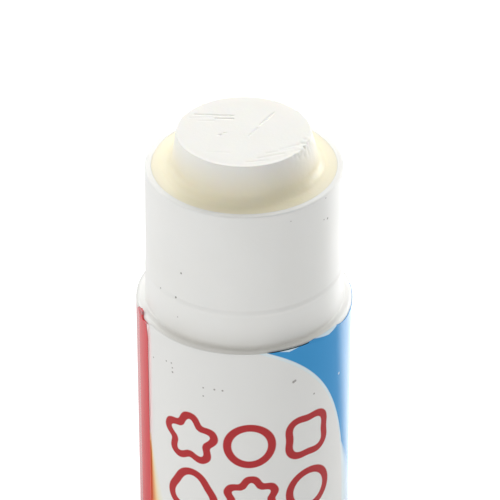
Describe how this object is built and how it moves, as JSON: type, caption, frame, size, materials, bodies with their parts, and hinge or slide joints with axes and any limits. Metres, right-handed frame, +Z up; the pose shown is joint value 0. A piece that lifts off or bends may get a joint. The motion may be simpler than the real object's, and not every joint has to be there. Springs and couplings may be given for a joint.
{
  "type": "glue stick",
  "caption": "Twist-up glue stick with its cap off: a ribbed knob turns a left-hand spindle that lifts the glue out of a labelled barrel.",
  "frame": {"origin": "centre of the knob's flat underside, on the surface that the stick stands on", "axes": "+Z up along the stick's axis, towards the glue; -Y is the front, which the label's white panel faces; the cap stands on the +X side"},
  "size_m": [0.059, 0.033, 0.0957],
  "materials": {
    "knob_plastic": "satin moulded polypropylene",
    "mechanism_plastic": "plain moulded polypropylene",
    "barrel_plastic": "satin moulded polypropylene",
    "label_film": "glossy printed film",
    "glue": "waxy set gel",
    "cap_plastic": "satin moulded polypropylene"
  },
  "bodies": {
    "barrel": {"barrel": "barrel_plastic", "label": "label_film"},
    "knob": {"knob": "knob_plastic", "spindle": "mechanism_plastic"},
    "carrier": {"carrier": "mechanism_plastic", "glue": "glue"},
    "cap": {"cap": "cap_plastic"}
  },
  "joints": [
    {"name": "knob_turn", "type": "hinge", "parent": "barrel", "child": "knob", "pos_m": [0, 0, 0], "axis": [0, 0, 1], "range_deg": [0, 4680]},
    {"name": "glue_rise", "type": "slide", "parent": "barrel", "child": "carrier", "axis": [0, 0, 1], "range_m": [0, 0.065]},
    {"name": "cap_lift", "type": "slide", "parent": "barrel", "child": "cap", "axis": [0, 0, 1], "range_m": [0, 0.1]}
  ],
  "couplings": [
    {"joint": "knob_turn", "follows": "glue_rise", "rad_per_m": 1256.6}
  ]
}
